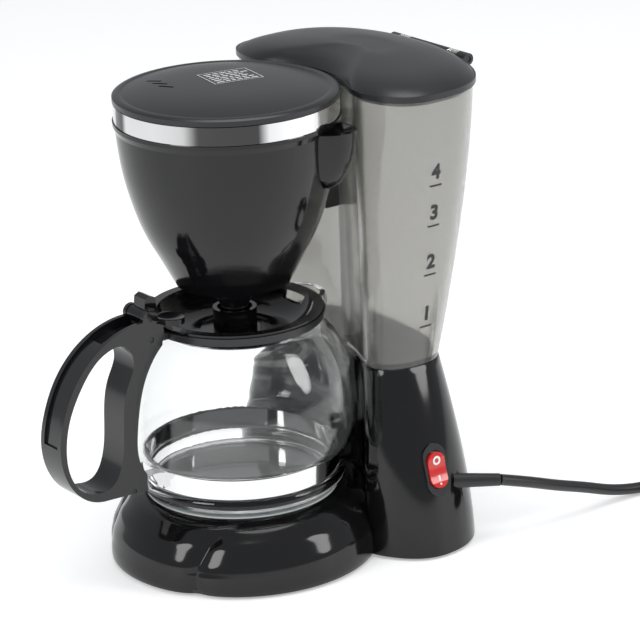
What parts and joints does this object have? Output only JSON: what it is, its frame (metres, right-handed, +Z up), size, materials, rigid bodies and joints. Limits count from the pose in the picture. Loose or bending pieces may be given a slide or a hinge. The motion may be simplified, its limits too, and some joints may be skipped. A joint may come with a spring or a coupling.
{
  "type": "drip coffee maker",
  "caption": "Drip coffee maker with a round warming base, flared column and smoky water tank, swing-out brew basket, drip stop and glass carafe.",
  "frame": {"origin": "Centre of the machine's footprint box, on the table it stands on (without the cord).", "axes": "+Z up; +Y from the carafe's handle towards the water tank; +X towards the switch and the cord."},
  "size_m": [0.2555, 0.3891, 0.2553],
  "materials": {
    "black_gloss": "glossy moulded black",
    "black_satin": "fine satin black",
    "handle_grey": "semi-gloss charcoal",
    "smoky_clear": "smoky see-through plastic",
    "glass": "clear glass",
    "chrome": "polished",
    "steel": "plain",
    "aluminium": "drawn tube",
    "plate_coating": "dark non-stick coating",
    "silicone": "translucent silicone",
    "rubber": "soft black",
    "white_plastic": "natural moulded",
    "filter_mesh": "gold-toned mesh",
    "red_plastic": "translucent red",
    "cord_black": "satin black sheath"
  },
  "bodies": {
    "machine": {"base_housing": "black_gloss", "bottom_cover": "black_satin", "base_screws": "steel", "rubber_feet": "rubber", "hot_plate": "plate_coating", "plate_gasket": "silicone", "heating_element": "steel", "water_tube": "aluminium", "heater_clamp": "steel", "clamp_nut": "steel", "thermostat": "steel", "thermal_fuse": "steel", "inlet_hose": "silicone", "outlet_hose": "silicone", "check_valve": "white_plastic", "tank_grommet": "silicone", "riser_tube": "white_plastic", "water_spout": "white_plastic", "water_tank": "smoky_clear", "tank_lid_pin": "black_satin", "basket_bracket": "black_satin", "basket_catch": "black_satin", "switch_body": "black_satin", "cord_grip": "cord_black", "power_cord": "cord_black", "cord_coil": "cord_black", "power_plug": "cord_black"},
    "tank_lid": {"tank_lid": "black_satin"},
    "brew_basket": {"basket_bowl": "black_gloss", "basket_trim_ring": "chrome", "coffee_filter": "filter_mesh", "valve_cage": "black_satin", "valve_spring": "steel", "basket_hinge_pin": "steel"},
    "basket_lid": {"basket_lid": "black_satin", "shower_plate": "black_satin"},
    "drip_stop": {"drip_valve": "black_satin", "valve_seal": "silicone"},
    "carafe": {"carafe_glass": "glass", "carafe_band": "chrome", "carafe_collar": "black_satin", "carafe_handle": "handle_grey", "handle_pins": "steel", "carafe_lid": "black_gloss", "carafe_lid_pin": "steel"},
    "rocker": {"switch_rocker": "red_plastic"}
  },
  "joints": [
    {"name": "tank_lid_hinge", "type": "hinge", "parent": "machine", "child": "tank_lid", "pos_m": [0, 0.1219, 0.2448], "axis": [-1, 0, 0], "range_deg": [0, 95]},
    {"name": "basket_swing", "type": "hinge", "parent": "machine", "child": "brew_basket", "pos_m": [-0.058, 0.0229, 0.213], "axis": [0, 0, 1], "range_deg": [-100, 0]},
    {"name": "basket_lid_lift", "type": "slide", "parent": "brew_basket", "child": "basket_lid", "axis": [0, 0, 1], "range_m": [0, 0.04]},
    {"name": "drip_stop_lift", "type": "slide", "parent": "brew_basket", "child": "drip_stop", "axis": [0, 0, 1], "range_m": [0, 0.003], "stiffness_N_per_m": 120, "springref_m": -0.002, "deforming": ["valve_spring"]},
    {"name": "carafe_slide", "type": "slide", "parent": "machine", "child": "carafe", "axis": [0, -1, 0], "range_m": [0, 0.14]},
    {"name": "power_rocker", "type": "hinge", "parent": "machine", "child": "rocker", "pos_m": [0.07158, 0.0604, 0.04538], "axis": [0, 1, 0], "range_deg": [-6, 6]}
  ]
}
